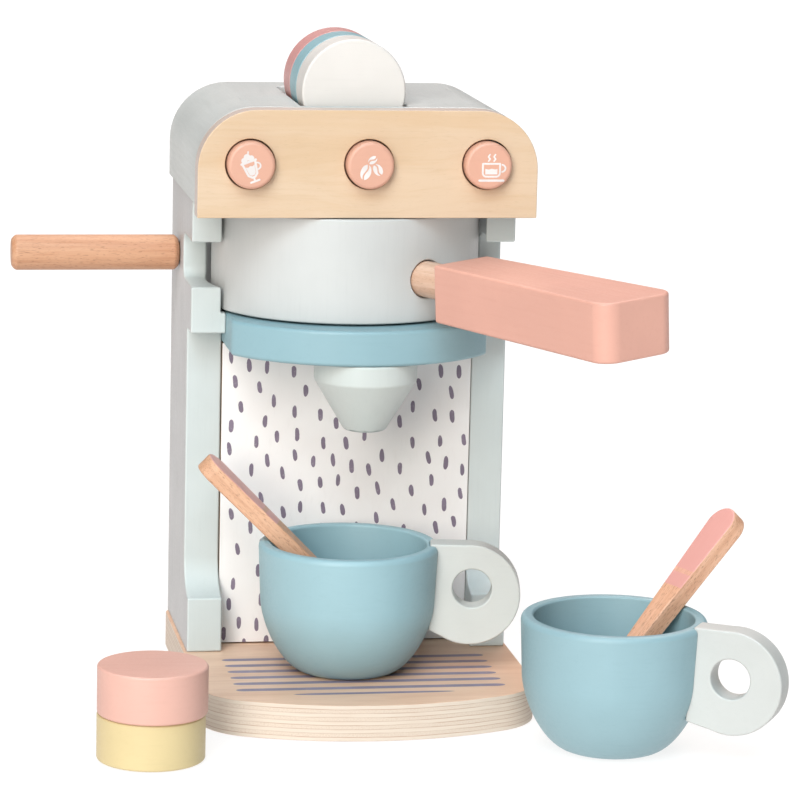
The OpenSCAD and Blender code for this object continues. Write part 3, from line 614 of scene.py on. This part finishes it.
def bean(cx, cy, a, b, tilt):
    """Two halves of a bean with a curved gap."""
    out = []
    gap = 0.30
    c, s = math.cos(tilt), math.sin(tilt)
    for side in (-1, 1):
        pts = []
        n = 14
        for i in range(n + 1):
            t = -math.pi / 2 + math.pi * i / n
            pts.append((side * (a * math.cos(t)), b * math.sin(t)))
        mid = []
        for i in range(n + 1):
            y = b * 0.97 * math.cos(math.pi * i / n)
            mid.append((side * gap + 0.42 * math.sin(math.pi * y / b), y))
        pts = [p for p in pts if True]
        ring = []
        for (x, y) in pts:
            lim = side * gap + 0.42 * math.sin(math.pi * max(-1, min(1, y / b)))
            ring.append((max(x, lim) if side > 0 else min(x, lim), y))
        # strips from the gap to the rim
        for i in range(n):
            (x0, y0), (x1, y1) = ring[i], ring[i + 1]
            m0 = side * gap + 0.42 * math.sin(math.pi * y0 / b)
            m1 = side * gap + 0.42 * math.sin(math.pi * y1 / b)
            if abs(x0 - m0) < 1e-4 and abs(x1 - m1) < 1e-4:
                continue
            q = [(m0, y0), (x0, y0), (x1, y1), (m1, y1)]
            q2 = []
            for p in q:
                if not q2 or math.dist(p, q2[-1]) > 1e-3:
                    q2.append(p)
            if math.dist(q2[0], q2[-1]) < 1e-3:
                q2.pop()
            if len(q2) >= 3:
                out.append(q2)
    return [[(cx + x * c - y * s, cy + x * s + y * c) for x, y in q] for q in out]


def icon_glass():
    """Tall glass on a low foot with a domed top and a straw."""
    s = []
    s += line([(-2.6, 2.4), (-1.8, -2.6), (-0.6, -3.7), (0.6, -3.7), (1.8, -2.6), (2.6, 2.4)], 0.85)
    s += line([(-2.9, 2.5), (2.9, 2.5)], 0.95)
    s += line(arc(2.5, 0.0, 1.5, 80, -88, 10, 1.35), 0.6)
    s.append([(-1.85, 0.9), (-1.25, -2.3), (-0.5, -2.95), (0.5, -2.95), (1.25, -2.3), (1.85, 0.9), (0.9, 0.45), (0.0, 0.85), (-0.9, 0.45)])
    s += [disc(-1.45, 3.55, 1.15), disc(1.45, 3.55, 1.15), disc(0.0, 4.45, 1.3)]
    s += line([(0.6, 5.2), (1.1, 6.3)], 0.6)
    s += line([(0, -3.8), (0, -4.9)], 0.7)
    s += line([(-1.7, -5.4), (1.7, -5.4)], 0.8)
    return s


def icon_beans():
    return bean(-2.1, -1.5, 2.0, 2.95, math.radians(-18)) + bean(2.5, -0.6, 1.7, 2.35, math.radians(34)) \
        + bean(0.4, 3.1, 1.35, 1.9, math.radians(-50))


def icon_cup():
    s = []
    s += line([(-3.5, 1.9), (-3.5, -1.4)] + arc(-2.2, -1.4, 1.3, 180, 270, 6) + arc(1.4, -1.4, 1.3, 270, 360, 6) + [(2.7, -1.4), (2.7, 1.9), (-3.5, 1.9)], 0.66)
    s += line(arc(3.0, 0.3, 1.7, 72, -72, 12, 1.35), 0.62)
    s.append([(-2.6, 0.1), (-1.4, -0.15), (-0.2, 0.15), (0.9, -0.1), (1.8, 0.1), (1.8, -1.9), (-2.6, -1.9)])
    s += line([(-4.6, -4.1), (4.0, -4.1)], 0.85)
    for x in (-1.5, 0.5):
        s += line([(x, 2.9), (x + 0.55, 3.6), (x - 0.1, 4.4), (x + 0.45, 5.2)], 0.55)
    return s


white_ink = ink("icon_ink", "#FBF3F0", 0.06, "#F3B3A2", (1.08, 1.08, 1.08))


def icon(name, shapes, index, tilt, body, dx=0.0, dy=0.0, k=1.0):
    c, s = math.cos(math.radians(tilt)), math.sin(math.radians(tilt))

    def place(a, b, i):
        a, b = a * k, b * k
        return (index * BUTTON_PITCH + dx + a * c - b * s, BUTTON_FRONT - 0.02 - 0.0008 * i, BUTTON_Z + dy + a * s + b * c)

    flat_piece(name, shapes, place, white_ink, body)


icon("icon_left", icon_glass(), -1, 20, "left_button", -0.5, -1.0, 1.06)
icon("icon_centre", icon_beans(), 0, 0, "centre_button", 0.1, -1.0, 1.09)
icon("icon_right", icon_cup(), 1, 0, "right_button", 1.4, -1.2, 1.16)


# ---------------------------------------------------------------- stage
def make_plane(name, size, z, material):
    me = bpy.data.meshes.new(name)
    s = size / 2
    me.from_pydata([(-s, -s, z), (s, -s, z), (s, s, z), (-s, s, z)], [], [(0, 1, 2, 3)])
    me.materials.append(material)
    o = bpy.data.objects.new(name, me)
    bpy.context.scene.collection.objects.link(o)
    return o


floor_g = Graph("floor_paper")
fibre = floor_g.noise(floor_g.tex("Object"), 260.0, 3.0, 0.6)
floor_g.set(Base_Color=floor_g.mix(floor_g.range(fibre, 0.3, 0.7, 0, 1), (0.195, 0.193, 0.192), (0.205, 0.203, 0.202)),
            Roughness=0.9, Specular_IOR_Level=0.1, Emission_Color=(0.825, 0.82, 0.815), Emission_Strength=1.0)
floor = make_plane("floor", 40.0, -0.0004, floor_g.mat)

world = bpy.data.worlds.new("studio")
bpy.context.scene.world = world
world.use_nodes = True
wn = world.node_tree
wn.nodes.clear()
w_out = wn.nodes.new("ShaderNodeOutputWorld")
w_bg = wn.nodes.new("ShaderNodeBackground")
w_bg.inputs["Color"].default_value = (1.0, 1.0, 1.0, 1)
w_bg.inputs["Strength"].default_value = 1.1
# a white background that lights nothing
world.cycles_visibility.diffuse = False
world.cycles_visibility.glossy = False
world.cycles_visibility.transmission = False
world.cycles_visibility.scatter = False
wn.links.new(w_bg.outputs[0], w_out.inputs[0])


def sun(name, azimuth, elevation, strength, angle, colour=(1, 1, 1)):
    """Azimuth 0 shines from the front, 90 from the right."""
    light = bpy.data.lights.new(name, "SUN")
    light.energy = strength * math.pi
    light.angle = math.radians(angle)
    light.color = colour
    a, e = math.radians(azimuth), math.radians(elevation)
    towards = Vector((math.sin(a) * math.cos(e), -math.cos(a) * math.cos(e), math.sin(e)))
    o = bpy.data.objects.new(name, light)
    o.location = towards * 3
    o.rotation_mode = "QUATERNION"
    o.rotation_quaternion = (-towards).to_track_quat("-Z", "Y")
    bpy.context.scene.collection.objects.link(o)


sun("low_front", -28, 12, 1.0, 25, (0.426, 0.418, 0.383))
sun("front", -28, 38, 1.0, 35, (0.606, 0.578, 0.570))
sun("high_front", -10, 58, 1.0, 40, (0.354, 0.498, 0.570))
sun("high_back", 170, 60, 1.0, 50, (0.777, 0.650, 0.601))

# ---------------------------------------------------------------- camera
cam_data = bpy.data.cameras.new("camera")
cam = bpy.data.objects.new("camera", cam_data)
bpy.context.scene.collection.objects.link(cam)
cam_data.sensor_width = 36.0
cam_data.sensor_fit = "HORIZONTAL"
cam_data.lens = 166.872
cam_data.clip_start, cam_data.clip_end = 0.05, 60.0
az, el, rl = math.radians(-9.8882), math.radians(10.7039), math.radians(1.3644)
look = Vector((-math.sin(az) * math.cos(el), math.cos(az) * math.cos(el), -math.sin(el)))
right = look.cross(Vector((0, 0, 1))).normalized()
up = right.cross(look)
R = math.cos(rl) * right + math.sin(rl) * up
U = -math.sin(rl) * right + math.cos(rl) * up
rot = Matrix((R, U, -look)).transposed()
cam.rotation_mode = "QUATERNION"
cam.rotation_quaternion = rot.to_quaternion()
cam.location = (-0.2461, -1.52575, 0.41813)
bpy.context.scene.camera = cam
bpy.context.scene.view_settings.view_transform = "Standard"
bpy.context.scene.view_settings.look = "None"

bpy.context.view_layer.update()
